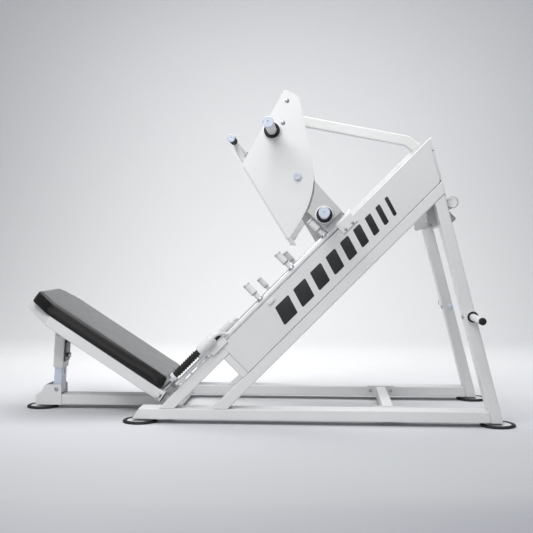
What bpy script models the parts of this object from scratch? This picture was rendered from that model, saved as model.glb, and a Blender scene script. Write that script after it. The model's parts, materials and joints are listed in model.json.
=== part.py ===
"""A 45 degree leg press with a foot sled on guide shafts, two swinging stop rods and a reclining back pad.

The frame of the model: +X runs from the user's head to the rear legs, +Y is the user's left, +Z is up.
The origin is the middle of the footprint, on the floor.
Rail coordinates: s runs up the 45 degree rail, n stands off it, y runs across.
Bench coordinates: p runs from the hip to the head, q stands off the pad, y runs across.
"""

import math

import bmesh
import bpy
from mathutils import Vector

# Driving dimensions, in metres.
GAP = 0.0003
WALL = 0.003
CORNER = 0.005
FOOT_RADIUS = 0.0785
FOOT_HEIGHT = 0.0197
FRAME_BOTTOM = 0.020
TUBE = 0.050
WIDE_TUBE = 0.100
FRAME_Y = 0.355
INNER_Y = FRAME_Y - WIDE_TUBE / 2
OUTER_Y = FRAME_Y + WIDE_TUBE / 2
RAIL_TOP = FRAME_BOTTOM + TUBE
RAIL_FRONT_RUN = 0.034

# The rear leg leans forward: its rear edge is x = LEG_FOOT_X - LEG_LEAN * z.
LEG_FOOT_X = 1.100
LEG_LEAN = 0.257
LEG_DEPTH = 0.050

# Heights off the rail of the beam's two tubes, its panel and the guide shaft.
BEAM_LOW = 0.131
BEAM_TOP = 0.350
BRACE_S = 0.132
BRACE_WIDTH = 0.038
SHAFT_N = 0.3715
SHAFT_RADIUS = 0.0095
SHAFT_START = -0.130
SHAFT_END = 0.975
SHAFT_LENGTH = SHAFT_END - SHAFT_START
STRIP_END = 1.340
STRIP_HALF = 0.009
BLOCK_PITCH = 0.100
BLOCK_LENGTH = 0.022

# The stop rods lie just above the beam, outboard of the shafts.
ROD_Y = 0.400
ROD_N = 0.3615
ROD_RADIUS = 0.0095
POST_STATIONS = (0.417, 0.612, 0.815)
POST_TOP = 0.469
HANDLE_Y = 0.430
HANDLE_N = 0.402

# The sled: the foot plate's top edge, its slope from the vertical and its length.
PLATE_TOP = Vector((-0.095, 0.0, 1.220))
PLATE_SLOPE = math.radians(31.3)
PLATE_LENGTH = 0.4914
SIDE_PLATE_Y = 0.383
SIDE_PLATE_THICK = 0.008
HORN_END_Y = 0.665
HORN_RADIUS = 0.021
UPPER_HORN = Vector((0.082, 0.0, 1.305))
LOWER_HORN_S = 0.880
LOWER_HORN_N = 0.437
CROSS_SHAFT = Vector((0.194, 0.0, 1.103))
CROSS_SHAFT_RADIUS = 0.0125

# The bench: its rise, hinge pin, and the prop that holds its head end.
BENCH_RISE = math.radians(33.0)
BENCH_PIN = Vector((-0.464, 0.0, 0.101))
PROP_FOOT = Vector((-0.995, 0.0, 0.096))
PROP_HEAD_P = 1.020
PROP_HEAD_Q = -0.225

Y_AXIS = Vector((0, 1, 0))
Z_AXIS = Vector((0, 0, 1))
ALONG_RAIL = Vector((1, 0, 1)).normalized()
OFF_RAIL = Vector((-1, 0, 1)).normalized()
SIDES = (("right", -1), ("left", 1))

# Colour, roughness and metallic value of each finish.
FINISHES = {
    "frame_paint": ((0.62, 0.63, 0.64), 0.38, 0.0),
    "sled_paint": ((0.58, 0.59, 0.60), 0.38, 0.0),
    "shaft_chrome": ((0.80, 0.81, 0.82), 0.18, 1.0),
    "zinc_steel": ((0.42, 0.43, 0.45), 0.35, 1.0),
    "prop_paint": ((0.50, 0.58, 0.68), 0.35, 0.0),
    "black_rubber": ((0.012, 0.012, 0.013), 0.65, 0.0),
    "pad_vinyl": ((0.020, 0.020, 0.022), 0.48, 0.0),
}


def clear_scene():
    for old in list(bpy.data.objects):
        bpy.data.objects.remove(old, do_unlink=True)


def rail(s, n, y=0.0):
    return ALONG_RAIL * s + OFF_RAIL * n + Y_AXIS * y


def bench(p, q, y=0.0):
    back = Vector((-math.cos(BENCH_RISE), 0, math.sin(BENCH_RISE)))
    up = Vector((math.sin(BENCH_RISE), 0, math.cos(BENCH_RISE)))
    return back * p + up * q + Y_AXIS * y


def on_plate(f, g, y=0.0):
    """A point f down the foot plate from its top edge and g behind its front face."""
    down = Vector((math.sin(PLATE_SLOPE), 0, -math.cos(PLATE_SLOPE)))
    behind = Vector((math.cos(PLATE_SLOPE), 0, math.sin(PLATE_SLOPE)))
    return PLATE_TOP + down * f + behind * g + Y_AXIS * y


def material(name):
    found = bpy.data.materials.get(name)
    if found:
        return found
    colour, roughness, metallic = FINISHES[name]
    made = bpy.data.materials.new(name)
    made.use_nodes = True
    made.diffuse_color = (*colour, 1.0)
    shader = made.node_tree.nodes["Principled BSDF"]
    shader.inputs["Base Color"].default_value = (*colour, 1.0)
    shader.inputs["Roughness"].default_value = roughness
    shader.inputs["Metallic"].default_value = metallic
    return made


def body(name, origin):
    """An empty on a moving body's joint, which its pieces hang on."""
    empty = bpy.data.objects.new(name, None)
    empty.location = origin
    bpy.context.scene.collection.objects.link(empty)
    return empty


def piece(name, shape, finish, owner):
    """Makes the shape, drawn in world coordinates, an object of this owner."""
    bmesh.ops.recalc_face_normals(shape, faces=shape.faces)
    bmesh.ops.translate(shape, verts=shape.verts, vec=-owner.location)
    mesh = bpy.data.meshes.new(name)
    shape.to_mesh(mesh)
    shape.free()
    mesh.shade_smooth()
    mesh.set_sharp_from_angle(angle=math.radians(34))
    mesh.materials.append(material(finish))
    made = bpy.data.objects.new(name, mesh)
    made.parent = owner
    bpy.context.scene.collection.objects.link(made)
    return made


def combine(target, shape, operation):
    """Joins a shape to the target or cuts it away, with an exact Boolean."""
    count = len(target.modifiers) + 1
    tool = piece(f"{target.name}_tool_{count}", shape, "zinc_steel", target.parent)
    tool.hide_render = True
    tool.display_type = "WIRE"
    step = target.modifiers.new(f"{operation.lower()}_{count}", "BOOLEAN")
    step.operation = operation
    step.solver = "EXACT"
    step.object = tool
    return target


def join(target, shape):
    return combine(target, shape, "UNION")


def cut(target, shape):
    return combine(target, shape, "DIFFERENCE")


def circle(radius, steps=18):
    turns = [math.tau * step / steps for step in range(steps)]
    return [(radius * math.cos(turn), radius * math.sin(turn)) for turn in turns]


def rounded(points, radii, steps=6):
    """The outline with each corner replaced by an arc of the given radius, or kept where that is 0."""
    outline = []
    corners = [Vector(point) for point in points]
    for index, corner in enumerate(corners):
        radius = radii[index]
        if not radius:
            outline.append(tuple(corner))
            continue
        to_last = (corners[index - 1] - corner).normalized()
        to_next = (corners[(index + 1) % len(corners)] - corner).normalized()
        half = to_last.angle(to_next) / 2
        middle = corner + (to_last + to_next).normalized() * radius / math.sin(half)
        first = corner + to_last * radius / math.tan(half) - middle
        last = corner + to_next * radius / math.tan(half) - middle
        sweep_angle = math.pi - 2 * half
        turn = math.copysign(1.0, first.x * last.y - first.y * last.x)
        for step in range(steps + 1):
            angle = turn * sweep_angle * step / steps
            x = first.x * math.cos(angle) - first.y * math.sin(angle)
            y = first.x * math.sin(angle) + first.y * math.cos(angle)
            outline.append((middle.x + x, middle.y + y))
    return outline


def rectangle(width, height, radius=CORNER, steps=2):
    w, h = width / 2, height / 2
    return rounded([(w, h), (-w, h), (-w, -h), (w, -h)], [radius] * 4, steps)


def sweep(points, up, outer, inner=None, cuts=(None, None)):
    """Carries a closed profile along a flat path, with a mitre at each bend.

    up stands off the path's plane, a profile's first number is measured to the right of the path and its
    second along up. A cut is the (point, normal) of the plane that an end is cut on. inner makes it hollow.
    """
    shape = bmesh.new()
    points = [Vector(point) for point in points]
    runs = [(b - a).normalized() for a, b in zip(points, points[1:])]
    rings = []
    for index, point in enumerate(points):
        run = runs[min(index, len(runs) - 1)]
        plane = (point, (run + runs[max(index - 1, 0)]).normalized())
        if index == 0 and cuts[0]:
            plane = cuts[0]
        if index == len(points) - 1 and cuts[1]:
            plane = cuts[1]
        right = run.cross(up)
        station = []
        for profile in filter(None, (outer, inner)):
            ring = []
            for across, above in profile:
                corner = point + right * across + up * above
                distance = (plane[0] - corner).dot(plane[1]) / run.dot(plane[1])
                ring.append(shape.verts.new(corner + run * distance))
            station.append(ring)
        rings.append(station)
    for first, second in zip(rings, rings[1:]):
        for ring_a, ring_b in zip(first, second):
            band(shape, ring_a, ring_b)
    for station in (rings[0], rings[-1]):
        if inner:
            band(shape, station[0], station[1])
        else:
            shape.faces.new(station[0])
    return shape


def band(shape, ring_a, ring_b):
    """The faces between two rings, either of which may be a single point."""
    count = max(len(ring_a), len(ring_b))
    for index in range(count):
        after = (index + 1) % count
        if len(ring_a) == 1:
            shape.faces.new((ring_a[0], ring_b[after], ring_b[index]))
        elif len(ring_b) == 1:
            shape.faces.new((ring_a[index], ring_a[after], ring_b[0]))
        else:
            shape.faces.new((ring_a[index], ring_a[after], ring_b[after], ring_b[index]))


def turned(base, axis, profile, steps=24, ring=False):
    """Turns (radius, distance along the axis) points round the axis. ring closes the profile on itself."""
    shape = bmesh.new()
    axis = Vector(axis).normalized()
    side = axis.orthogonal().normalized()
    other = axis.cross(side)
    rings = []
    for radius, distance in profile:
        middle = Vector(base) + axis * distance
        turns = circle(radius, steps) if radius else [(0.0, 0.0)]
        rings.append([shape.verts.new(middle + side * a + other * b) for a, b in turns])
    for first, second in zip(rings, rings[1:] + rings[:1] if ring else rings[1:]):
        band(shape, first, second)
    if not ring:
        for end in (rings[0], rings[-1]):
            if len(end) > 1:
                shape.faces.new(end)
    return shape


def pipe(base, axis, outer, inner, length, steps=24):
    return turned(base, axis, [(inner, 0), (outer, 0), (outer, length), (inner, length)], steps, ring=True)


def rod(base, axis, radius, length, steps=18):
    return turned(base, axis, [(radius, 0), (radius, length)], steps)


def plate(outline, y_from, y_to):
    """An outline in x and z, given a thickness across the machine."""
    return sweep([(0, y_from, 0), (0, y_to, 0)], Z_AXIS, outline)


def rail_plate(outline, y_from, y_to):
    """An outline in s and n, given a thickness across the machine."""
    return plate([rail(s, n).xz for s, n in outline], y_from, y_to)


def rail_bar(outline, s_from, s_to):
    """An outline in y and n, carried along the rail."""
    return sweep([rail(s_from, 0), rail(s_to, 0)], OFF_RAIL, [(-y, n) for y, n in outline])


def box_tube(start, end, up, width, height, cuts=(None, None), wall=WALL):
    inner = rectangle(width - 2 * wall, height - 2 * wall, CORNER - wall)
    return sweep([start, end], up, rectangle(width, height), inner, cuts)


def leg_plane(offset):
    """The plane this far in front of the leg's rear edge, which also ends the beams."""
    normal = Vector((1, 0, LEG_LEAN)).normalized()
    return (Vector((LEG_FOOT_X, 0, 0)) - normal * offset, normal)


def level_plane(z):
    return (Vector((0, 0, z)), Z_AXIS)


# ---- The frame


def make_base(frame):
    for side, sign in SIDES:
        y = sign * FRAME_Y
        middle = FRAME_BOTTOM + TUBE / 2
        slant = (Vector((-0.548, 0, FRAME_BOTTOM)), Vector((TUBE, 0, -RAIL_FRONT_RUN)))
        ends = (slant, leg_plane(LEG_DEPTH + GAP))
        rail_tube = box_tube((-0.5, y, middle), (1.0, y, middle), Z_AXIS, WIDE_TUBE, TUBE, ends)
        piece(f"base_rail_{side}", rail_tube, "frame_paint", frame)
    spine = box_tube((-1.100, 0, middle), (-0.425 - GAP, 0, middle), Z_AXIS, WIDE_TUBE, TUBE)
    piece("base_spine", spine, "frame_paint", frame)
    make_front_cross(frame, middle)
    make_middle_cross(frame, middle)


def make_front_cross(frame, middle):
    reach = INNER_Y - GAP
    tube = box_tube((-0.400, -reach, middle), (-0.400, reach, middle), Z_AXIS, TUBE, TUBE)
    cross = piece("front_cross_tube", tube, "frame_paint", frame)
    ear = [(-0.482, 0.104), (-0.474, 0.118), (-0.456, 0.120), (-0.4065, 0.0685), (-0.4235, 0.0685)]
    ear += [(-0.4235, 0.050), (-0.457, 0.084), (-0.476, 0.089)]
    for y in (-0.173, 0.173):
        join(cross, plate(rounded(ear, [0.010, 0.010, 0.010, 0, 0, 0, 0.008, 0.008], 4), y - 0.003, y + 0.003))
    cut(cross, rod(BENCH_PIN - Y_AXIS * 0.2, Y_AXIS, 0.0104, 0.4))


def make_middle_cross(frame, middle):
    """The bolted cross tube, whose flanges stand on the rails' inner faces."""
    x = 0.604
    reach = INNER_Y - GAP
    tube = piece("middle_cross_tube", sweep_bar(x, middle, reach), "frame_paint", frame)
    for sign in (-1, 1):
        low, high = sorted((sign * reach, sign * (reach - 0.006)))
        flange = [(x - 0.070, 0.024), (x + 0.070, 0.024), (x + 0.070, 0.0745), (x - 0.070, 0.0745)]
        join(tube, plate(rounded(flange, [0.006] * 4, 3), low, high))
    hollow = rectangle(TUBE - 2 * WALL, TUBE - 2 * WALL, CORNER - WALL)
    cut(tube, sweep([(x, -0.4, middle), (x, 0.4, middle)], Z_AXIS, hollow))


def sweep_bar(x, z, reach):
    return sweep([(x, -reach, z), (x, reach, z)], Z_AXIS, rectangle(TUBE, TUBE))


def make_legs(frame):
    lean = Vector((-LEG_LEAN, 0, 1)).normalized()
    under_beam = (rail(0, BEAM_LOW - GAP), OFF_RAIL)
    for side, sign in SIDES:
        foot = leg_plane(LEG_DEPTH / 2)[0] + Y_AXIS * sign * FRAME_Y
        across = lean.cross(Y_AXIS)
        leg = box_tube(foot, foot + lean, across, WIDE_TUBE, LEG_DEPTH, (level_plane(FRAME_BOTTOM), under_beam))
        piece(f"rear_leg_{side}", leg, "frame_paint", frame)


def make_beams(frame):
    cuts = (level_plane(RAIL_TOP + GAP), leg_plane(0))
    for side, sign in SIDES:
        y = sign * FRAME_Y
        for name, low in (("lower", BEAM_LOW), ("upper", BEAM_TOP - TUBE)):
            n = low + TUBE / 2
            tube = box_tube(rail(0, n, y), rail(1, n, y), OFF_RAIL, WIDE_TUBE, TUBE, cuts)
            piece(f"beam_{name}_{side}", tube, "frame_paint", frame)
        low = rail(BRACE_S, BEAM_LOW + TUBE + GAP, y)
        high = rail(BRACE_S, BEAM_TOP - TUBE - GAP, y)
        brace = box_tube(low, high, ALONG_RAIL, WIDE_TUBE, BRACE_WIDTH)
        piece(f"beam_brace_{side}", brace, "frame_paint", frame)
        make_panel(frame, side, sign)


def rail_end(n):
    """How far up the rail the beam reaches at this height off it."""
    return (math.sqrt(2) * LEG_FOOT_X + n * (1 - LEG_LEAN)) / (1 + LEG_LEAN)


def make_panel(frame, side, sign):
    low, high = BEAM_LOW + TUBE + 0.002, BEAM_TOP - 0.003
    start, inset = BRACE_S + BRACE_WIDTH / 2, 0.010
    outline = [(start, low), (rail_end(low) - inset, low), (rail_end(high) - inset, high), (start, high)]
    near, far = sorted((sign * (OUTER_Y + GAP), sign * (OUTER_Y + GAP + 0.003)))
    piece(f"side_panel_{side}", rail_plate(outline, near, far), "frame_paint", frame)


def make_guide_rails(frame):
    """Each guide shaft on a strip with a row of blocks. Past the shaft's end the strip stands taller."""
    strip_top, tall_top = BEAM_TOP + 0.006, BEAM_TOP + 0.016
    for side, sign in SIDES:
        y = sign * FRAME_Y
        outline = [(SHAFT_START, BEAM_TOP + GAP), (STRIP_END, BEAM_TOP + GAP), (STRIP_END, tall_top)]
        outline += [(SHAFT_END - 0.010, tall_top), (SHAFT_END - 0.010, strip_top)]
        for number in reversed(range(int(SHAFT_LENGTH / BLOCK_PITCH))):
            start = SHAFT_START + 0.024 + number * BLOCK_PITCH
            outline += [(start + BLOCK_LENGTH, strip_top), (start + BLOCK_LENGTH, SHAFT_N)]
            outline += [(start, SHAFT_N), (start, strip_top)]
        outline.append((SHAFT_START, strip_top))
        blocks = rail_plate(outline, y - STRIP_HALF, y + STRIP_HALF)
        support = piece(f"guide_rail_{side}", blocks, "shaft_chrome", frame)
        join(support, rod(rail(SHAFT_START, SHAFT_N, y), ALONG_RAIL, SHAFT_RADIUS, SHAFT_LENGTH, 24))


def make_rear_tubes(frame):
    radius, z, reach = 0.026, 0.987, 0.375
    x = LEG_FOOT_X - LEG_LEAN * z + (radius + GAP) * math.hypot(1, LEG_LEAN)
    piece("rear_round_tube", pipe((x, -reach, z), Y_AXIS, radius, radius - WALL, 2 * reach), "frame_paint", frame)
    reach = INNER_Y - GAP
    square = box_tube(rail(1.262, 0.0365, -reach), rail(1.262, 0.0365, reach), OFF_RAIL, TUBE, TUBE)
    piece("rear_square_tube", square, "frame_paint", frame)


def make_feet(frame):
    places = {"foot_front": (-1.0785, 0.0)}
    for side, sign in SIDES:
        places[f"foot_rail_{side}"] = (-0.519, sign * FRAME_Y)
        places[f"foot_leg_{side}"] = (1.0785, sign * FRAME_Y)
    profile = [(0.075, 0), (FOOT_RADIUS, 0.003), (FOOT_RADIUS, 0.009), (0.072, 0.013), (0.045, 0.015)]
    profile += [(0.045, FOOT_HEIGHT)]
    for name, (x, y) in places.items():
        piece(name, turned((x, y, 0), Z_AXIS, profile, 28), "black_rubber", frame)


def make_storage_horns(frame):
    profile = [(0.027, 0), (0.027, 0.014), (0.0150, 0.0145), (0.0150, 0.257)]
    for side, sign in SIDES:
        base = Vector((0.958, sign * (OUTER_Y + GAP), 0.486))
        piece(f"storage_horn_{side}", turned(base, Y_AXIS * sign, profile), "frame_paint", frame)


def make_rod_brackets(frame):
    """Bearing brackets that wrap over the stop rods and bolt to the beams' outer faces."""
    places = (("lower", 0.094, 0.183, 0.0165, 0.3425), ("upper", 0.882, 0.965, 0.0145, 0.318))
    for side, sign in SIDES:
        for name, s_from, s_to, radius, bottom in places:
            inner, outer = ROD_Y - radius, ROD_Y + radius
            flange = OUTER_Y + 0.0036
            arch = [(ROD_Y - radius * math.cos(step * math.pi / 12), ROD_N + radius * math.sin(step * math.pi / 12))
                    for step in range(13)]
            outline = [(inner, BEAM_TOP + GAP), *arch, (outer, bottom), (flange, bottom), (flange, BEAM_TOP + GAP)]
            block = rail_bar([(sign * y, n) for y, n in outline], s_from, s_to)
            bracket = piece(f"rod_bracket_{name}_{side}", block, "frame_paint", frame)
            bore = rod(rail(s_from - 0.02, ROD_N, sign * ROD_Y), ALONG_RAIL, ROD_RADIUS + 0.0005, 0.13)
            cut(bracket, bore)


# ---- The bench and its prop


def make_bench(frame, bench_body):
    pin = rod(BENCH_PIN - Y_AXIS * 0.232, Y_AXIS, 0.010, 0.464)
    piece("bench_hinge_pin", pin, "zinc_steel", frame)
    side_y, head_p, middle_q, hip_p = 0.205, 1.195, -0.165, 0.419
    half = [(hip_p, side_y), (1.063, side_y), (head_p, 0.091)]
    path = [bench(p, middle_q, -y) for p, y in half] + [bench(p, middle_q, y) for p, y in reversed(half)]
    off_pad = bench(0, 1)
    section = rectangle(0.040, TUBE), rectangle(0.040 - 2 * WALL, TUBE - 2 * WALL, CORNER - WALL)
    sides = piece("bench_frame", sweep(path, off_pad, *section), "frame_paint", bench_body)
    cut(sides, rod(BENCH_PIN - Y_AXIS * 0.3, Y_AXIS, 0.0106, 0.6))
    reach = side_y - 0.020 - GAP
    hip = box_tube(bench(0.505, middle_q, -reach), bench(0.505, middle_q, reach), off_pad, 0.040, 0.040)
    piece("bench_hip_tube", hip, "frame_paint", bench_body)
    make_prop_saddle(bench_body, off_pad, middle_q, reach)
    outline = [(0.441, -0.230), (1.105, -0.230), (1.200, -0.170), (1.200, 0.170), (1.105, 0.230), (0.441, 0.230)]
    outline = rounded(outline, [0.018, 0.090, 0.045, 0.045, 0.090, 0.018])
    low, high = middle_q + TUBE / 2 + GAP, -0.077
    pad = sweep([bench(0, low), bench(0, high)], Y_AXIS, [(p, y) for p, y in outline])
    piece("back_pad", pad, "pad_vinyl", bench_body)


def make_prop_saddle(bench_body, off_pad, middle_q, reach):
    """The bench's cross tube, with the two ears that the prop's upper pin passes through."""
    tube = box_tube(bench(PROP_HEAD_P, middle_q, -reach), bench(PROP_HEAD_P, middle_q, reach), off_pad, TUBE, TUBE)
    saddle = piece("prop_saddle", tube, "frame_paint", bench_body)
    top, tip = middle_q - TUBE / 2 + WALL / 2, PROP_HEAD_Q - 0.020
    corners = [(PROP_HEAD_P - 0.022, top), (PROP_HEAD_P + 0.022, top)]
    corners += [(PROP_HEAD_P + 0.020, tip), (PROP_HEAD_P - 0.020, tip)]
    ear = rounded([bench(p, q).xz for p, q in corners], [0, 0, 0.017, 0.017])
    for sign in (-1, 1):
        low, high = sorted((sign * (WIDE_TUBE / 2 + GAP), sign * (WIDE_TUBE / 2 + GAP + 0.006)))
        join(saddle, plate(ear, low, high))
    cut(saddle, rod(bench(PROP_HEAD_P, PROP_HEAD_Q, -0.1), Y_AXIS, 0.0105, 0.2))


def make_prop(frame, inner_body, outer_body, pin_body):
    head = bench(PROP_HEAD_P, PROP_HEAD_Q)
    lean = (head - PROP_FOOT).normalized()
    out = Y_AXIS.cross(lean)
    make_prop_bracket(frame)

    inner = piece("prop_inner", box_tube(PROP_FOOT - lean * 0.021, PROP_FOOT + lean * 0.175, out, 0.080, 0.040),
                  "prop_paint", inner_body)
    cut(inner, rod(PROP_FOOT - Y_AXIS * 0.1, Y_AXIS, 0.0086, 0.2))
    lock = 0.1655
    slot = rounded([(0.0068, 0.010), (-0.0068, 0.010), (-0.0068, -0.093), (0.0068, -0.093)], [0.0066] * 4)
    start = PROP_FOOT + lean * lock
    cut(inner, sweep([start + out * 0.010, start + out * 0.040], lean, slot))

    outer = piece("prop_outer", box_tube(PROP_FOOT + lean * 0.110, head + lean * 0.015, out, WIDE_TUBE, TUBE),
                  "frame_paint", outer_body)
    cut(outer, rod(start + out * 0.010, out, 0.0068, 0.030))
    join(outer, rod(head - Y_AXIS * 0.066, Y_AXIS, 0.008, 0.132))

    profile = [(0.0055, 0.0165), (0.0063, 0.0180), (0.0063, 0.0335), (0.0115, 0.0345), (0.0130, 0.0385)]
    profile += [(0.0130, 0.0445), (0.0100, 0.0485)]
    piece("pull_pin", turned(start, out, profile, 18), "zinc_steel", pin_body)


def make_prop_bracket(frame):
    """Two cheeks astride the spine, joined by a sloping web, with the prop's lower pivot bolt."""
    outline = [(-1.100, FRAME_BOTTOM), (-1.052, 0.119), (-0.971, 0.119), (-0.971, FRAME_BOTTOM)]
    reach = WIDE_TUBE / 2 + 0.0065
    bracket = piece("prop_bracket", plate(rounded(outline, [0.006, 0.014, 0.008, 0], 4), -reach, reach),
                    "frame_paint", frame)
    slope = (0.119 - FRAME_BOTTOM) / 0.048
    web = 0.0068
    floor = RAIL_TOP + GAP
    foot_x = -1.100 + (floor - FRAME_BOTTOM) / slope + web
    high = 0.20
    room = [(-1.20, 0.0), (-1.20, floor), (foot_x, floor), (foot_x + (high - floor) / slope, high)]
    room += [(-0.90, high), (-0.90, 0.0)]
    cut(bracket, plate(room, -WIDE_TUBE / 2 - GAP, WIDE_TUBE / 2 + GAP))
    join(bracket, rod(PROP_FOOT - Y_AXIS * (reach - 0.001), Y_AXIS, 0.008, 2 * reach - 0.002))


# ---- The sled


def side_plate_outline():
    """The plate's front edge lies just behind the foot plate, and its rear edge is one long curve."""
    top_front, low_front = on_plate(0.0743, 0.0065), on_plate(0.4680, 0.0065)
    corners = [top_front.xz, (0.139, 1.489), (0.201, 1.454), (0.2887, 1.0343), low_front.xz]
    return rounded(corners, [0.012, 0.012, 0.030, 0.360, 0.006], 10)


def make_sled_plates(sled):
    for side, sign in SIDES:
        near, far = sorted((sign * SIDE_PLATE_Y, sign * (SIDE_PLATE_Y + SIDE_PLATE_THICK)))
        flat = piece(f"sled_side_plate_{side}", plate(side_plate_outline(), near, far), "sled_paint", sled)
        cut(flat, rod(CROSS_SHAFT + Y_AXIS * sign * 0.34, Y_AXIS * sign, CROSS_SHAFT_RADIUS + 0.0005, 0.08))
    reach = 0.396
    shaft = rod(CROSS_SHAFT - Y_AXIS * reach, Y_AXIS, CROSS_SHAFT_RADIUS, 2 * reach)
    piece("sled_cross_shaft", shaft, "zinc_steel", sled)


def make_foot_plate(sled):
    """The foot plate, with a flange down each edge that bolts to the side plate."""
    reach = SIDE_PLATE_Y - 0.003
    face = [on_plate(f, g).xz for f, g in ((0, 0), (PLATE_LENGTH, 0), (PLATE_LENGTH, 0.006), (0, 0.006))]
    flat = piece("foot_plate", plate(face, -reach, reach), "sled_paint", sled)
    corners = [on_plate(f, g).xz for f, g in ((0.085, 0.003), (0.455, 0.003), (0.455, 0.040), (0.085, 0.055))]
    for sign in (-1, 1):
        low, high = sorted((sign * (SIDE_PLATE_Y - GAP), sign * (SIDE_PLATE_Y - 0.0063)))
        join(flat, plate(rounded(corners, [0, 0, 0.012, 0.012], 4), low, high))


def make_cross_bar(sled):
    """The bar above the foot plate, on two arms, with a rubber grip at each end."""
    centre = on_plate(-0.0454, 0.0244)
    radius, reach = 0.0125, 0.402
    bar = piece("push_bar", rod(centre - Y_AXIS * reach, Y_AXIS, radius, 2 * reach), "sled_paint", sled)
    arm = [(-0.058, 0.012), (-0.034, 0.012), (-0.0006, 0.0064), (0.080, 0.0064), (0.080, 0.024), (-0.034, 0.038)]
    arm.append((-0.058, 0.038))
    outline = rounded([on_plate(f, g).xz for f, g in arm], [0.008, 0, 0, 0.002, 0.008, 0, 0.008], 3)
    for y in (-0.254, 0.254):
        join(bar, plate(outline, y - 0.004, y + 0.004))
    for side, sign in SIDES:
        grip = pipe(centre + Y_AXIS * sign * 0.280, Y_AXIS * sign, 0.016, radius + GAP, 0.120)
        piece(f"push_bar_grip_{side}", grip, "black_rubber", sled)


def make_weight_horns(sled):
    """Tubes that the plates slide on, each welded to a round flange."""
    for side, sign in SIDES:
        places = {"upper": (UPPER_HORN, SIDE_PLATE_Y + SIDE_PLATE_THICK)}
        places["lower"] = (rail(LOWER_HORN_S, LOWER_HORN_N), 0.428)
        for name, (centre, face) in places.items():
            length = HORN_END_Y - face - GAP
            bore = HORN_RADIUS - 0.004
            profile = [(bore, 0), (0.0385, 0), (0.0385, 0.005), (HORN_RADIUS, 0.005)]
            profile += [(HORN_RADIUS, length), (bore, length)]
            horn = turned(centre + Y_AXIS * sign * (face + GAP), Y_AXIS * sign, profile, 24, ring=True)
            piece(f"{name}_horn_{side}", horn, "zinc_steel", sled)


def make_sled_brackets(sled):
    """The inner plate of the carriage, and the outer plate of the lower horn, joined above the stop posts."""
    inner = [(0.962, 0.640), (0.945, 0.668), (0.900, 0.668), (0.880, 0.640), (0.799, 0.498), (0.764, 0.368)]
    inner += [(0.772, 0.357), (0.800, 0.357), (0.814, 0.392), (0.835, 0.392), (0.843, 0.357), (0.9425, 0.357)]
    inner += [(0.950, 0.377)]
    outer = [(0.838, 0.395), (0.9465, 0.395), (0.953, 0.569), (0.917, 0.537), (0.862, 0.507), (0.838, 0.500)]
    for side, sign in SIDES:
        inside = sorted((sign * 0.307, sign * 0.315))
        outside = sorted((sign * 0.420, sign * 0.428))
        across = sorted((sign * 0.3135, sign * 0.4215))
        bracket = piece(f"horn_bracket_{side}", rail_plate(inner, *inside), "sled_paint", sled)
        web = [(0.846, 0.480), (0.944, 0.480), (0.944, 0.492), (0.846, 0.492)]
        join(bracket, rail_plate(web, *across))
        join(bracket, rail_plate(rounded(outer, [0.008, 0.008] + [0] * 4, 3), *outside))
        hole = rod(CROSS_SHAFT + Y_AXIS * sign * 0.29, Y_AXIS * sign, CROSS_SHAFT_RADIUS + 0.0005, 0.04)
        cut(bracket, hole)


def make_housings(sled):
    """Bearing housings open below, so that they pass the shaft's blocks."""
    half, crown = SHAFT_RADIUS + 0.0008, SHAFT_N + SHAFT_RADIUS + 0.0008
    inner, outer, low, high = 0.3153, 0.3828, 0.354, 0.415
    outline = [(inner, low), (FRAME_Y - half, low), (FRAME_Y - half, crown), (FRAME_Y + half, crown)]
    outline += [(FRAME_Y + half, low), (outer, low), (outer, high), (inner, high)]
    outline = rounded(outline, [0] * 6 + [0.008, 0.004], 3)
    for side, sign in SIDES:
        block = rail_bar([(sign * y, n) for y, n in outline], 0.836, 0.942)
        piece(f"bearing_housing_{side}", block, "zinc_steel", sled)


def make_rear_brace(sled):
    """The brace from the sled's head down to the rear carriage, welded to a cross tube between the side plates."""
    head_up = Vector((0.182, 0, 0.983)).normalized()
    head = Vector((0.139, 0, 1.3945))
    reach = SIDE_PLATE_Y - GAP
    tube = box_tube(head - Y_AXIS * reach, head + Y_AXIS * reach, head_up, 0.040, WIDE_TUBE)
    brace = piece("rear_brace", tube, "sled_paint", sled)
    run = Vector((0.981, 0, -0.193)).normalized()
    bend = Vector((0.708, 0, 1.3005))
    start = bend - run * ((bend - head).dot(run) - 0.0185)
    foot = bend + Vector((0.794, 0, -0.608)) * 0.038
    tongue_top = (rail(0, 0.3668), OFF_RAIL)
    section = rectangle(0.048, 0.048), rectangle(0.048 - 2 * WALL, 0.048 - 2 * WALL, CORNER - WALL)
    join(brace, sweep([start, bend, foot], Y_AXIS, *section, cuts=(None, tongue_top)))


def make_rear_carriage(sled):
    """The low cross bar that runs between the strips' inner sides, with a tongue under the brace."""
    reach, low, high = 0.3425, 0.352, 0.3665
    bar = [(-reach, low), (reach, low), (reach, high), (-reach, high)]
    carriage = piece("rear_carriage", rail_bar(rounded(bar, [0.003] * 4, 2), 1.262, 1.312), "sled_paint", sled)
    tongue = [(-0.030, low + 0.0005), (0.030, low + 0.0005), (0.030, high - 0.0005), (-0.030, high - 0.0005)]
    join(carriage, rail_bar(tongue, 1.300, 1.452))


# ---- The stop rods


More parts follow.
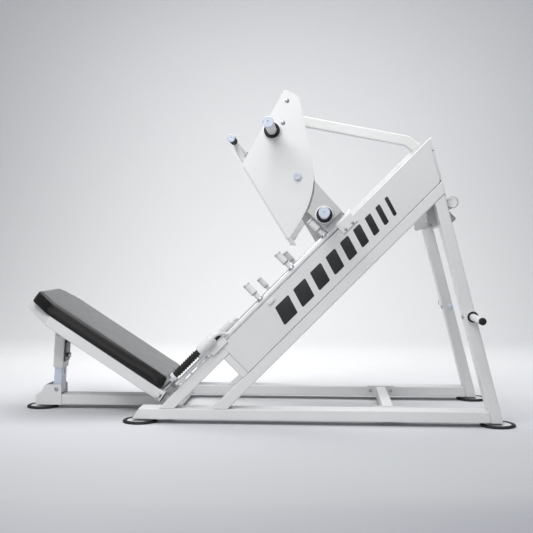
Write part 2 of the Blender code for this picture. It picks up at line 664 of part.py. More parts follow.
def make_stop_rod(side, sign, stop_body):
    """The rod with its three posts, and the crank that carries the handle outboard of it."""
    y = sign * ROD_Y
    made = rod(rail(0.100, ROD_N, y), ALONG_RAIL, ROD_RADIUS, 0.860)
    stop = piece(f"stop_rod_{side}", made, "zinc_steel", stop_body)
    for s in POST_STATIONS:
        profile = [(0.0110, 0), (0.0110, 0.0495), (0.0155, 0.0505), (0.0155, POST_TOP - ROD_N - 0.002)]
        profile += [(0.0135, POST_TOP - ROD_N)]
        join(stop, turned(rail(s, ROD_N, y), OFF_RAIL, profile, 16))
    handle = [(-0.104, 1), (0.165, 1), (0.176, 0.93), (0.186, 0.74), (0.193, 0.5), (0.200, 0.26), (0.210, 0.07)]
    handle += [(0.225, 0)]
    path = [rail(s, ROD_N + (HANDLE_N - ROD_N) * t, y + sign * (HANDLE_Y - ROD_Y) * t) for s, t in handle]
    offset = OFF_RAIL * (HANDLE_N - ROD_N) + Y_AXIS * sign * (HANDLE_Y - ROD_Y)
    join(stop, sweep(path, ALONG_RAIL.cross(offset).normalized(), circle(0.0085, 14)))
    start = rail(-0.087, HANDLE_N, sign * HANDLE_Y)
    grip = pipe(start, ALONG_RAIL, 0.0135, 0.0085 + GAP, 0.149)
    piece(f"stop_grip_{side}", grip, "black_rubber", stop_body)


def make_leg_press():
    clear_scene()
    frame = body("frame", (0, 0, 0))
    make_base(frame)
    make_legs(frame)
    make_beams(frame)
    make_guide_rails(frame)
    make_rear_tubes(frame)
    make_feet(frame)
    make_storage_horns(frame)
    make_rod_brackets(frame)

    bench_body = body("bench", BENCH_PIN)
    make_bench(frame, bench_body)
    inner_body = body("prop_lower", PROP_FOOT)
    head = bench(PROP_HEAD_P, PROP_HEAD_Q)
    outer_body = body("prop_upper", head)
    pin_body = body("prop_pin", PROP_FOOT + (head - PROP_FOOT).normalized() * 0.1655)
    make_prop(frame, inner_body, outer_body, pin_body)

    sled = body("sled", rail(0.9, SHAFT_N))
    make_sled_plates(sled)
    make_foot_plate(sled)
    make_cross_bar(sled)
    make_weight_horns(sled)
    make_sled_brackets(sled)
    make_housings(sled)
    make_rear_brace(sled)
    make_rear_carriage(sled)

    for side, sign in SIDES:
        stop_body = body(f"stops_{side}", rail(0.5, ROD_N, sign * ROD_Y))
        make_stop_rod(side, sign, stop_body)


make_leg_press()
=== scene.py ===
"""The looks of the 45 degree leg press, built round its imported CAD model.

Rail coordinates: s runs up the 45 degree rail, n stands off it, y runs across the machine.
Bench coordinates: p runs from the hip to the head, q stands off the pad, y runs across.
Every size is in metres. Places are read from the CAD nodes where a node gives them.
"""

import json
import math

import bmesh
import bpy
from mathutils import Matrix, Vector
from mathutils.bvhtree import BVHTree


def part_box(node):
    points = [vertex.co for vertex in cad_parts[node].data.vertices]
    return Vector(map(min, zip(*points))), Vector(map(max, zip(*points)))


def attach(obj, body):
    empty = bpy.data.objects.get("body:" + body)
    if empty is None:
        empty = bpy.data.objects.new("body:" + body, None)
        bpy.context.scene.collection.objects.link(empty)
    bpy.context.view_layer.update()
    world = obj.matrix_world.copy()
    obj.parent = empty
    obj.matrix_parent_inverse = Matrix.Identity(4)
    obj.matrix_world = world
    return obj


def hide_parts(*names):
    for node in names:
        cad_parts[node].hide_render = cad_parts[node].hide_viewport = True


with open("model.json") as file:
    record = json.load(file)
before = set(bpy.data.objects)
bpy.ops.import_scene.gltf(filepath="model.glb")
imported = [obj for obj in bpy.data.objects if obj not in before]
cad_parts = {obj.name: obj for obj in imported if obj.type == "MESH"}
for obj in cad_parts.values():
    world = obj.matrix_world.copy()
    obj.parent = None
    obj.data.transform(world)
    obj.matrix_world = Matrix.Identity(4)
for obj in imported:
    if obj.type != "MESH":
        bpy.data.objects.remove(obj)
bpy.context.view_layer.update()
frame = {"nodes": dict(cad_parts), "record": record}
NODES = frame["nodes"]

X_AXIS, Y_AXIS, Z_AXIS = Vector((1, 0, 0)), Vector((0, 1, 0)), Vector((0, 0, 1))
RAIL = Vector((1, 0, 1)).normalized()
OFF = Vector((-1, 0, 1)).normalized()
RISE = math.radians(33.0)
BACK = Vector((-math.cos(RISE), 0, math.sin(RISE)))
PAD_UP = Vector((math.sin(RISE), 0, math.cos(RISE)))
SIDES = (("right", -1), ("left", 1))
LEG_RUN = Vector((-0.257, 0, 1)).normalized()
LEG_OUT = Vector((1, 0, 0.257)).normalized()
GAP = 0.0003
BEAM_Y = 0.355
SHAFT_RADIUS = 0.0095
SHAFT_CHAMFER = 0.0012
ROD_Y = 0.400
ROD_N = 0.3615
POST_STATIONS = (0.417, 0.612, 0.815)


def rail(s, n, y=0.0):
    return RAIL * s + OFF * n + Y_AXIS * y


def bench(p, q, y=0.0):
    return BACK * p + PAD_UP * q + Y_AXIS * y


def span(node, direction):
    """How far a CAD node reaches along a direction, lowest and highest."""
    painted_spot_falloff = [vertex.co.dot(direction) for vertex in NODES[node].data.vertices]
    return min(painted_spot_falloff), max(painted_spot_falloff)


def middle(node):
    low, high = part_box(node)
    return (low + high) / 2


def ends(node, sign):
    """The y of a CAD node's inner and outer ends, as seen from the middle of the machine."""
    low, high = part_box(node)
    return (high.y, low.y) if sign < 0 else (low.y, high.y)


PROP_FOOT = Vector((-0.995, 0, 0.096))
PROP_HEAD = bench(1.020, -0.225)
PROP_RUN = (PROP_HEAD - PROP_FOOT).normalized()


# ---- Materials. Textures follow the object's own coordinates, in metres.


class Paint:
    """A material under construction, with the few node chains that the finishes share."""

    def __init__(self, name, colour, roughness, metallic=0.0):
        self.material = bpy.data.materials.new(name)
        self.material.use_nodes = True
        self.tree = self.material.node_tree
        self.shader = self.tree.nodes["Principled BSDF"]
        self.colour = colour
        self.shader.inputs["Base Color"].default_value = (*colour, 1)
        self.shader.inputs["Roughness"].default_value = roughness
        self.shader.inputs["Metallic"].default_value = metallic
        self.place = self.node("ShaderNodeTexCoord").outputs["Object"]

    def node(self, kind, **settings):
        made = self.tree.nodes.new(kind)
        for key, value in settings.items():
            if key in made.inputs.keys():
                made.inputs[key].default_value = value
            else:
                setattr(made, key, value)
        return made

    def link(self, source, target):
        self.tree.links.new(source, target)

    def noise(self, scale, detail=3.0, stretch=None):
        source = self.place
        if stretch:
            mapping = self.node("ShaderNodeMapping")
            mapping.inputs["Scale"].default_value = stretch
            self.link(source, mapping.inputs["Vector"])
            source = mapping.outputs["Vector"]
        made = self.node("ShaderNodeTexNoise", Scale=scale, Detail=detail)
        self.link(source, made.inputs["Vector"])
        return made.outputs["Fac"]

    def cells(self, scale, feature="F1"):
        made = self.node("ShaderNodeTexVoronoi", feature=feature, Scale=scale)
        self.link(self.place, made.inputs["Vector"])
        return made.outputs["Distance"]

    def ramp(self, source, stops):
        made = self.node("ShaderNodeValToRGB")
        ramp = made.color_ramp
        for index, (position, colour) in enumerate(stops):
            stop = ramp.elements[index] if index < 2 else ramp.elements.new(position)
            stop.position = position
            stop.color = (*colour, 1)
        self.link(source, made.inputs["Fac"])
        return made.outputs["Color"]

    def between(self, source, low, high, start=0.3, end=0.7):
        made = self.node("ShaderNodeMapRange")
        for key, value in (("From Min", start), ("From Max", end), ("To Min", low), ("To Max", high)):
            made.inputs[key].default_value = value
        self.link(source, made.inputs["Value"])
        return made.outputs["Result"]

    def tone(self, source, amount):
        """Varies the colour a little, darker and lighter, along a source."""
        low = tuple(channel * (1 - amount) for channel in self.colour)
        high = tuple(min(1.0, channel * (1 + amount)) for channel in self.colour)
        self.link(self.ramp(source, [(0.3, low), (0.7, high)]), self.shader.inputs["Base Color"])

    def rough(self, source, low, high):
        self.link(self.between(source, low, high), self.shader.inputs["Roughness"])

    def bump(self, source, strength, distance, under=None):
        made = self.node("ShaderNodeBump", Strength=strength, Distance=distance)
        self.link(source, made.inputs["Height"])
        if under:
            self.link(under, made.inputs["Normal"])
        self.link(made.outputs["Normal"], self.shader.inputs["Normal"])
        return made.outputs["Normal"]


def powder_coat(name, colour, roughness=0.36):
    """Satin powder coat: a fine orange peel, slightly uneven gloss and tone."""
    paint = Paint(name, colour, roughness)
    paint.shader.inputs["Coat Weight"].default_value = 0.15
    paint.shader.inputs["Coat Roughness"].default_value = 0.25
    paint.tone(paint.noise(5.0, 4.0), 0.025)
    paint.rough(paint.noise(60.0, 2.0), roughness - 0.05, roughness + 0.08)
    peel = paint.bump(paint.noise(420.0, 2.0), 0.10, 0.0006)
    paint.bump(paint.noise(1800.0, 1.0), 0.05, 0.0003, peel)
    return paint.material


def plated_steel(name, colour, roughness, streak):
    """Bright steel with fine tool marks, stretched along one direction."""
    paint = Paint(name, colour, roughness, 1.0)
    paint.tone(paint.noise(14.0, 3.0), 0.06)
    marks = paint.noise(260.0, 4.0, streak)
    paint.rough(marks, roughness - 0.06, roughness + 0.10)
    paint.bump(marks, 0.08, 0.0003)
    return paint.material


def moulded_plastic(name, colour, roughness):
    paint = Paint(name, colour, roughness)
    paint.tone(paint.noise(40.0, 2.0), 0.05)
    paint.rough(paint.noise(180.0, 2.0), roughness - 0.06, roughness + 0.06)
    paint.bump(paint.cells(1100.0), 0.12, 0.0003)
    return paint.material


def rubber(name, colour, roughness=0.62):
    paint = Paint(name, colour, roughness)
    paint.tone(paint.noise(25.0, 4.0), 0.20)
    paint.rough(paint.noise(90.0, 3.0), roughness - 0.08, roughness + 0.12)
    paint.bump(paint.noise(900.0, 3.0), 0.25, 0.0005)
    return paint.material


def ribbed_rubber(name, colour):
    """A hand grip's rubber: fine knurling that runs round the grip's axis."""
    paint = Paint(name, colour, 0.60)
    paint.tone(paint.noise(30.0, 3.0), 0.25)
    under = paint.bump(paint.noise(1200.0, 2.0), 0.20, 0.0004)
    paint.bump(paint.cells(420.0, "SMOOTH_F1"), 0.45, 0.0008, under)
    return paint.material


def vinyl(name, colour):
    """Upholstery vinyl: pebbled grain over slow creases, with a soft sheen."""
    paint = Paint(name, colour, 0.30)
    paint.shader.inputs["Specular IOR Level"].default_value = 0.16
    paint.shader.inputs["Coat Weight"].default_value = 1.0
    paint.shader.inputs["Coat IOR"].default_value = 1.26
    paint.shader.inputs["Coat Roughness"].default_value = 0.22
    paint.shader.inputs["Sheen Weight"].default_value = 0.10
    paint.shader.inputs["Sheen Roughness"].default_value = 0.35
    paint.tone(paint.noise(9.0, 5.0), 0.16)
    paint.rough(paint.noise(26.0, 4.0), 0.30, 0.34)
    slow = paint.bump(paint.noise(22.0, 3.0), 0.02, 0.0015)
    grain = paint.bump(paint.cells(430.0, "SMOOTH_F1"), 0.10, 0.0005, slow)
    paint.bump(paint.noise(1500.0, 2.0), 0.05, 0.0003, grain)
    return paint.material


def printed_film(name, colour):
    """The matt film that the panel's stripes are cut from."""
    paint = Paint(name, colour, 0.50)
    paint.tone(paint.noise(30.0, 3.0), 0.12)
    paint.rough(paint.noise(120.0, 2.0), 0.44, 0.56)
    paint.bump(paint.noise(700.0, 2.0), 0.06, 0.0002)
    return paint.material


WHITE = powder_coat("white_powder_coat", (0.72, 0.722, 0.72))
PANEL = powder_coat("panel_powder_coat", (0.69, 0.692, 0.69), 0.42)
SLED = powder_coat("sled_powder_coat", (0.76, 0.762, 0.76), 0.40)
# A mid-grey copy of the white coat, used as painted shade on the horn brackets under the side plates and on the
# leg gussets.
PAINTED_SHADE_GREY = powder_coat("painted_shade_grey_coat", (0.54, 0.542, 0.54), 0.42)
PROP_BLUE = powder_coat("prop_lacquer", (0.62, 0.68, 0.80), 0.30)
# Near-black painted shade for the shadowed side of the prop's post, carried by the plunger plate.
PROP_PAINTED_SHADE = powder_coat("prop_painted_shade_lacquer", (0.035, 0.036, 0.038), 0.44)
CHROME = plated_steel("ground_chrome", (0.92, 0.925, 0.93), 0.30, (1, 30, 1))
ZINC = plated_steel("zinc_plate", (0.62, 0.63, 0.65), 0.32, (8, 1, 8))
BOLT = plated_steel("bolt_steel", (0.45, 0.46, 0.48), 0.34, (1, 1, 1))
PIN_STEEL = plated_steel("bright_pin", (0.72, 0.73, 0.75), 0.24, (1, 6, 1))
CAP = moulded_plastic("cap_plastic", (0.60, 0.655, 0.76), 0.34)
# A lighter copy of the white coat, as a painted highlight on the horns' flange rims.
FLANGE_PAINTED_HIGHLIGHT = powder_coat("flange_painted_highlight", (0.86, 0.862, 0.86), 0.34)
SLEEVE = moulded_plastic("sleeve_plastic", (0.72, 0.725, 0.73), 0.34)
BLACK_PLASTIC = moulded_plastic("black_plastic", (0.010, 0.010, 0.011), 0.42)
RUBBER = rubber("black_rubber", (0.007, 0.007, 0.0075))
GRIP = ribbed_rubber("grip_rubber", (0.009, 0.009, 0.0095))
VINYL = vinyl("pad_vinyl", (0.0045, 0.0045, 0.005))
FILM = printed_film("stripe_film", (0.016, 0.016, 0.017))


# ---- Shapes


def rounded(points, radii, steps=6):
    """The outline with each corner replaced by an arc of the given radius, or kept where that is 0."""
    outline = []
    corners = [Vector(point) for point in points]
    for index, corner in enumerate(corners):
        radius = radii[index] if isinstance(radii, (list, tuple)) else radii
        if not radius:
            outline.append(tuple(corner))
            continue
        to_last = (corners[index - 1] - corner).normalized()
        to_next = (corners[(index + 1) % len(corners)] - corner).normalized()
        half = to_last.angle(to_next) / 2
        centre = corner + (to_last + to_next).normalized() * radius / math.sin(half)
        first = corner + to_last * radius / math.tan(half) - centre
        last = corner + to_next * radius / math.tan(half) - centre
        turn = math.copysign(math.pi - 2 * half, first.x * last.y - first.y * last.x)
        for step in range(steps + 1):
            angle = turn * step / steps
            x = first.x * math.cos(angle) - first.y * math.sin(angle)
            y = first.x * math.sin(angle) + first.y * math.cos(angle)
            outline.append((centre.x + x, centre.y + y))
    return outline


def rectangle(width, height, radius, steps=4):
    w, h = width / 2, height / 2
    return rounded([(w, h), (-w, h), (-w, -h), (w, -h)], radius, steps)


def circle(radius, steps):
    turns = [math.tau * step / steps for step in range(steps)]
    return [(radius * math.cos(turn), radius * math.sin(turn)) for turn in turns]


def band(shape, ring_a, ring_b):
    count = max(len(ring_a), len(ring_b))
    for index in range(count):
        after = (index + 1) % count
        if len(ring_a) == 1:
            shape.faces.new((ring_a[0], ring_b[after], ring_b[index]))
        elif len(ring_b) == 1:
            shape.faces.new((ring_a[index], ring_a[after], ring_b[0]))
        else:
            shape.faces.new((ring_a[index], ring_a[after], ring_b[after], ring_b[index]))


def turned(base, axis, profile, steps=48, ring=False, shape=None):
    """Turns (radius, distance) points round the axis. With ring, the profile closes on itself."""
    shape = shape or bmesh.new()
    axis = Vector(axis).normalized()
    side = axis.orthogonal().normalized()
    other = axis.cross(side)
    rings = []
    for radius, distance in profile:
        centre = Vector(base) + axis * distance
        turns = circle(radius, steps) if radius else [(0.0, 0.0)]
        rings.append([shape.verts.new(centre + side * a + other * b) for a, b in turns])
    for first, second in zip(rings, rings[1:] + rings[:1] if ring else rings[1:]):
        band(shape, first, second)
    if not ring:
        for end in (rings[0], rings[-1]):
            if len(end) > 1:
                shape.faces.new(end)
    return shape


def prism(outline, base, right, up, depth, bevel=0.0, shape=None):
    """An outline extruded along right x up, with its far rim chamfered in by the bevel."""
    shape = shape or bmesh.new()
    run = right.cross(up).normalized()
    centre = sum((Vector(point) for point in outline), Vector((0, 0))) / len(outline)
    levels = [(0.0, 0.0), (depth, 0.0)]
    if bevel:
        levels = [(0.0, 0.0), (depth - bevel, 0.0), (depth - bevel * 0.3, bevel * 0.3), (depth, bevel)]
    rings = []
    for distance, inset in levels:
        ring = []
        for point in outline:
            flat = Vector(point)
            flat -= (flat - centre).normalized() * inset
            ring.append(shape.verts.new(base + right * flat.x + up * flat.y + run * distance))
        rings.append(ring)
    for first, second in zip(rings, rings[1:]):
        band(shape, first, second)
    for end in (rings[0], rings[-1]):
        shape.faces.new(end)
    return shape


def slab(outline, base, toward, depth, bevel, right=RAIL, up=OFF, shape=None):
    """An outline in the plane of right and up, extruded along y: towards +y for 1 and towards -y for -1."""
    if right.cross(up).y * toward < 0:
        outline = [(-a, b) for a, b in outline]
        right = -right
    return prism(outline, base, right, up, depth, bevel, shape)


def sweep(path, up, profile):
    """Carries a profile round a closed path in the plane that up stands off."""
    shape = bmesh.new()
    rings = []
    for index, point in enumerate(path):
        run = (path[(index + 1) % len(path)] - path[index - 1]).normalized()
        right = run.cross(up)
        rings.append([shape.verts.new(point + right * a + up * b) for a, b in profile])
    for first, second in zip(rings, rings[1:] + rings[:1]):
        band(shape, first, second)
    return shape


def piece(name, shape, material, body, sharp=35.0, bevel=0.0):
    """Makes the shape an object that rides on a body."""
    bmesh.ops.recalc_face_normals(shape, faces=shape.faces)
    mesh = bpy.data.meshes.new(name)
    shape.to_mesh(mesh)
    shape.free()
    mesh.shade_smooth()
    mesh.set_sharp_from_angle(angle=math.radians(sharp))
    mesh.materials.append(material)
    made = bpy.data.objects.new(name, mesh)
    bpy.context.scene.collection.objects.link(made)
    if bevel:
        soften(made, bevel)
    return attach(made, body) or made


def soften(thing, width):
    step = thing.modifiers.new("soft_edges", "BEVEL")
    step.width = width
    step.segments = 3
    step.limit_method = "ANGLE"
    step.angle_limit = math.radians(40.0)
    step.harden_normals = True


# ---- Fasteners


def button_bolt(shape, place, axis, radius=0.008):
    """A domed cap screw with a hexagon socket, on a washer."""
    washer = [(0, 0), (radius * 1.35, 0), (radius * 1.35, 0.0010), (radius * 1.25, 0.0014)]
    dome = [(radius, 0.0014), (radius, 0.0026), (radius * 0.86, 0.0044), (radius * 0.50, 0.0054)]
    socket = [(radius * 0.46, 0.0052), (radius * 0.42, 0.0030), (0, 0.0030)]
    turned(place, axis, washer + dome + socket, 24, shape=shape)


def hex_bolt(shape, place, axis, radius=0.009):
    """A hexagon head on a washer."""
    axis = Vector(axis).normalized()
    top = 0.0016
    washer = [(0, 0), (radius * 1.30, 0), (radius * 1.30, 0.0012), (radius * 1.22, top), (0, top)]
    turned(place, axis, washer, 24, shape=shape)
    side = axis.orthogonal().normalized()
    prism(circle(radius, 6), Vector(place) + axis * top, side, axis.cross(side), radius * 0.62, 0.0010, shape)


def bolts(name, places, axis, body, make=button_bolt, radius=0.008):
    shape = bmesh.new()
    for place in places:
        make(shape, place, axis, radius)
    return piece(name, shape, BOLT, body, 30.0)


# ---- The pieces


def dress_cad():
    """Gives each carried-over CAD node its finish, and joins the faces of its mesh."""
    finish = {"frame_paint": WHITE, "panel_paint": PANEL, "sled_paint": SLED, "shaft_chrome": CHROME,
              "zinc_steel": ZINC, "prop_paint": PROP_BLUE, "black_rubber": RUBBER, "pad_vinyl": VINYL}
    # The horn brackets take the grey coat, which is painted shade.
    special = {"horn_bracket": PAINTED_SHADE_GREY, "stop_rod": SLEEVE, "stop_grip": GRIP, "push_bar_grip": GRIP,
               "upper_horn": SLEEVE, "lower_horn": SLEEVE, "pull_pin": PIN_STEEL}
    slots = {entry["node"]: entry["material_slot"] for entry in frame["record"]["subparts"]}
    for name, node in NODES.items():
        chosen = finish[slots[name]]
        for start, material in special.items():
            if name.startswith(start):
                chosen = material
        node.data.materials.clear()
        node.data.materials.append(chosen)
        weld = node.modifiers.new("weld", "WELD")
        weld.merge_threshold = 0.00002


def make_feet():
    """Each foot: a rubber ring with a bead, a painted disc in it, and the stud and nut under the frame."""
    for node in [name for name in NODES if name.startswith("foot_") and name != "foot_plate"]:
        low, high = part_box(node)
        base = Vector(((low.x + high.x) / 2, (low.y + high.y) / 2, 0))
        radius, height = (high.x - low.x) / 2, high.z
        inner, disc_top, washer_top = radius - 0.019, 0.0125, 0.0145
        ring = [(inner, 0.0), (radius - 0.003, 0.0), (radius, 0.003), (radius, 0.007), (radius - 0.003, 0.0105),
                (radius - 0.008, 0.0125), (radius - 0.014, 0.0120), (inner, 0.0085)]
        rim = piece(f"{node}_ring", turned(base, Z_AXIS, ring, 64, ring=True), RUBBER, "frame", 50.0)
        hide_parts(node)
        disc = [(0, 0.0015), (inner - 0.0005, 0.0015), (inner - 0.0005, 0.0088), (inner - 0.003, 0.0098),
                (0.034, 0.0108), (0.032, 0.0120), (0, disc_top)]
        piece(f"{node}_disc", turned(base, Z_AXIS, disc, 64), SLEEVE, "frame", 50.0)
        washer = [(0, disc_top), (0.017, disc_top), (0.017, washer_top), (0, washer_top)]
        stud = turned(base, Z_AXIS, washer, 32)
        nut = circle(0.0145, 6)
        prism(nut, base + Z_AXIS * washer_top, X_AXIS, Y_AXIS, height - washer_top, 0.0008, stud)
        piece(f"{node}_stud", stud, BLACK_PLASTIC, "frame", 30.0)


def make_guide_rails():
    """The ground shafts, and under each a row of saddle blocks on a strip, screwed to the beam."""
    for side, _ in SIDES:
        node = f"guide_rail_{side}"
        start, end = span(node, RAIL)
        y = middle(node).y
        centre_n = span(node, OFF)[1] - SHAFT_RADIUS
        above = [v.co for v in NODES[node].data.vertices if v.co.dot(OFF) > centre_n + 0.002]
        shaft_end = max(point.dot(RAIL) for point in above)
        length = shaft_end - start
        shoulder = SHAFT_RADIUS - SHAFT_CHAMFER
        profile = [(0, 0), (shoulder, 0), (SHAFT_RADIUS, SHAFT_CHAMFER), (SHAFT_RADIUS, length - SHAFT_CHAMFER),
                   (shoulder, length), (0, length)]
        rod = turned(rail(start, centre_n, y), RAIL, profile, 64)
        shaft = piece(f"guide_shaft_{side}", rod, CHROME, "frame")
        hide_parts(node)
        make_shaft_blocks(side, y, start, shaft_end, end, centre_n)


def make_shaft_blocks(side, y, start, shaft_end, end, centre_n):
    """The low strip and saddle blocks under the shaft, and the taller plain strip past its end."""
    # Each outline lies in y and n, and prism() carries it along the rail.
    floor = span(f"beam_upper_{side}", OFF)[1] + GAP
    low_top, high_top = floor + 0.0057, floor + 0.0157
    half = 0.009
    low = rounded([(-half, floor), (half, floor), (half, low_top), (-half, low_top)], [0, 0, 0.001, 0.001], 2)
    high = rounded([(-half, floor), (half, floor), (half, high_top), (-half, high_top)], [0, 0, 0.002, 0.002], 3)
    turns = [math.radians(angle) for angle in range(55, -56, -11)]
    saddle = [(SHAFT_RADIUS * math.sin(turn), centre_n - SHAFT_RADIUS * math.cos(turn)) for turn in turns]
    block = [(-0.0088, low_top - 0.001), (0.0088, low_top - 0.001), *saddle]
    step = shaft_end - 0.010
    shape = prism(low, rail(start, 0, y), Y_AXIS, OFF, step - start)
    prism(high, rail(step, 0, y), Y_AXIS, OFF, end - step, 0, shape)
    screws = []
    pitch, first, width = 0.100, 0.024, 0.022
    for number in range(int((shaft_end - start) / pitch)):
        s = start + first + number * pitch
        prism(block, rail(s, 0, y), Y_AXIS, OFF, width, 0, shape)
        screws.append(rail(s + (pitch + width) / 2, low_top, y))
    piece(f"shaft_support_{side}", shape, SLEEVE, "frame", bevel=0.0004)
    bolts(f"shaft_screws_{side}", screws[:-1], OFF, "frame", radius=0.0040)


def make_end_caps():
    """Plastic inserts and welded plates that close the tubes' open ends."""
    for side, sign in SIDES:
        cap_storage_horn(side, sign)
        cap_beam_ends(side)
        cap_rear_tubes(side, sign)


def cap_storage_horn(side, sign):
    """The insert in the horn's end, and the rubber collar round its root."""
    node = f"storage_horn_{side}"
    root, tip = ends(node, sign)
    outward = Y_AXIS * sign
    axis = Vector((middle(node).x, 0, middle(node).z))
    insert = [(0, -0.012), (0.0152, -0.012), (0.0157, -0.008), (0.0157, 0.001), (0.0142, 0.0030),
              (0.0095, 0.0042), (0, 0.0045)]
    base = axis + Y_AXIS * tip - outward * 0.0005
    piece(f"storage_horn_cap_{side}", turned(base, outward, insert, 40), BLACK_PLASTIC, "frame")
    collar = [(0.0155, 0.0), (0.0242, 0.0), (0.0248, 0.003), (0.0248, 0.013), (0.0230, 0.016),
              (0.0155, 0.0165)]
    base = axis + Y_AXIS * root + outward * GAP
    piece(f"storage_horn_collar_{side}", turned(base, outward, collar, 48, ring=True), RUBBER, "frame")


def cap_beam_ends(side):
    """White plates over the beams' slanted rear ends, and a black insert in the rail's slanted front end."""
    y = middle(f"beam_upper_{side}").y
    low = span(f"beam_lower_{side}", LEG_RUN)[1] - 0.072
    high = span(f"beam_upper_{side}", LEG_RUN)[1]
    face = span(f"beam_upper_{side}", LEG_OUT)[1] + GAP
    base = LEG_OUT * face + LEG_RUN * ((low + high) / 2) + Y_AXIS * y
    outline = rectangle(0.098, high - low - 0.004, 0.008)
    piece(f"beam_end_plate_{side}", prism(outline, base, Y_AXIS, LEG_RUN, 0.004, 0.0012), WHITE, "frame")
    base = LEG_OUT * (face - 0.0205) + LEG_RUN * (high - 0.127) + Y_AXIS * y
    outline = rectangle(0.0975, 0.132, 0.003)
    piece(f"beam_end_web_{side}", prism(outline, base, Y_AXIS, LEG_RUN, 0.020, 0.0010), WHITE, "frame")
    rail_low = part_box(f"base_rail_{side}")[0]
    slope = Vector((0.046, 0, 0.050)).normalized()
    front = Vector((-slope.z, 0, slope.x))
    base = Vector((rail_low.x, y, rail_low.z)) + slope * 0.034 + front * GAP
    outline = rectangle(0.096, 0.062, 0.006)
    insert = prism(outline, base, -Y_AXIS, slope, 0.003, 0.0010)
    piece(f"rail_front_cap_{side}", insert, BLACK_PLASTIC, "frame")


def cap_rear_tubes(side, sign):
    """A cover plate in the square tube's end, and a cap with a steel rim on the round tube's end."""
    s_low, s_high = span("rear_square_tube", RAIL)
    n_low, n_high = span("rear_square_tube", OFF)
    tip = ends("rear_square_tube", sign)[1]
    inset = 0.0070
    outline = rectangle(s_high - s_low - inset, n_high - n_low - inset, 0.002)
    base = rail((s_low + s_high) / 2, (n_low + n_high) / 2, tip - sign * 0.0030)
    piece(f"square_tube_cover_{side}", slab(outline, base, sign, 0.002, 0.0006), WHITE, "frame")
    tube = middle("rear_round_tube")
    base = Vector((tube.x, ends("rear_round_tube", sign)[1], tube.z))
    cap = [(0, -0.010), (0.0225, -0.010), (0.0225, 0), (0.0244, 0.0002), (0.0244, 0.0025), (0.0222, 0.0040),
           (0.0195, 0.0040), (0.0185, 0.0025), (0, 0.0025)]
    piece(f"rear_tube_cap_{side}", turned(base, Y_AXIS * sign, cap, 48), SLEEVE, "frame")
    rim = [(0.0246, 0.0003), (0.0258, 0.0003), (0.0263, 0.0008), (0.0263, 0.0026), (0.0246, 0.0030)]
    piece(f"rear_tube_rim_{side}", turned(base, Y_AXIS * sign, rim, 48, ring=True), BOLT, "frame")


def make_stripes():
    """A plain graphic of slanted stripes, in place of lettering, on each side panel."""
    height, slant, corner_radius = 0.086, 0.026, 0.006
    start, end = 0.425, 1.120
    widths = [0.082 - 0.008 * number for number in range(9)]
    pause = (end - start - sum(widths)) / (len(widths) - 1)
    for side, sign in SIDES:
        node = f"side_panel_{side}"
        base = Y_AXIS * (ends(node, sign)[1] + sign * 0.0001)
        centre = sum(span(node, OFF)) / 2 - 0.006
        low, high = centre - height / 2, centre + height / 2
        shape = bmesh.new()
        left = start - slant / 2
        for width in widths:
            right = left + width
            corners = [(left, low), (right, low), (right + slant, high), (left + slant, high)]
            slab(rounded(corners, corner_radius, 5), base, sign, 0.0004, 0.0002, shape=shape)
            left = right + pause
        piece(f"panel_stripes_{side}", shape, FILM, "frame")


def make_frame_bolts():
    """The screws, nuts, clips and gussets on the frame."""
    for side, sign in SIDES:
        flange_thick, flange_bolt_z = 0.006, 0.049
        inner = ends("middle_cross_tube", sign)[1] - sign * flange_thick
        middle_x = middle("middle_cross_tube").x
        places = [Vector((middle_x + dx, inner, flange_bolt_z)) for dx in (-0.0525, 0.0525)]
        bolts(f"middle_flange_bolts_{side}", places, Y_AXIS * -sign, "frame", hex_bolt, 0.0068)
        node = f"rod_bracket_upper_{side}"
        s_low, s_high = span(node, RAIL)
        places = [rail(s, 0.326, ends(node, sign)[1]) for s in (s_low + 0.020, s_high - 0.022)]
        bolts(f"rod_bracket_screws_{side}", places, Y_AXIS * sign, "frame", radius=0.0050)
        make_rod_clip(side, sign)
        make_leg_gusset(side, sign)
        make_leg_nut(side, sign)


def make_leg_nut(side, sign):
    """The nut on the leg's front face at the storage horn's height, and the domed cap on its inner side."""
    horn = middle(f"storage_horn_{side}")
    place = Vector((horn.x - 0.0322, sign * BEAM_Y, horn.z - 0.0035))
    bolts(f"leg_nut_{side}", [place], -LEG_OUT, "frame", hex_bolt, 0.010)
    dome = [(0, 0), (0.0150, 0), (0.0150, 0.002), (0.0125, 0.006), (0.0070, 0.0085), (0, 0.0092)]
    place = Vector((horn.x + 0.0005, ends(f"rear_leg_{side}", sign)[0] - sign * 0.0002, horn.z))
    piece(f"leg_inner_cap_{side}", turned(place, Y_AXIS * -sign, dome, 40), CAP, "frame")


def make_leg_gusset(side, sign):
    """The bolted plate on the inner side, where the rear leg meets the beam. Its corners are x and z."""
    corners = [(0.769, 0.949), (0.812, 0.993), (0.840, 0.975), (0.846, 0.897), (0.7845, 0.874), (0.7755, 0.883)]
    outline = rounded(corners, [0.002, 0.004, 0.004, 0.006, 0.008, 0.006], 4)
    face = ends(f"rear_leg_{side}", sign)[0] - sign * 0.0008
    shape = slab(outline, Y_AXIS * face, -sign, 0.005, 0.0008, X_AXIS, Z_AXIS)
    # The gusset is grey as painted shade.
    piece(f"leg_gusset_{side}", shape, PAINTED_SHADE_GREY, "frame")
    bolts(f"gusset_bolt_{side}", [Vector((0.7865, face, 0.889))], Y_AXIS * sign, "frame", radius=0.0050)


def make_rod_clip(side, sign):
    """The small rounded clip on the beam, beside the lowest stop post."""
    outline = rounded([(0.427, 0.3255), (0.467, 0.3255), (0.467, 0.3435), (0.427, 0.3435)], 0.0075, 6)
    face = ends(f"side_panel_{side}", sign)[1] + sign * GAP
    piece(f"rod_clip_{side}", slab(outline, Y_AXIS * face, sign, 0.006, 0.0015), WHITE, "frame")


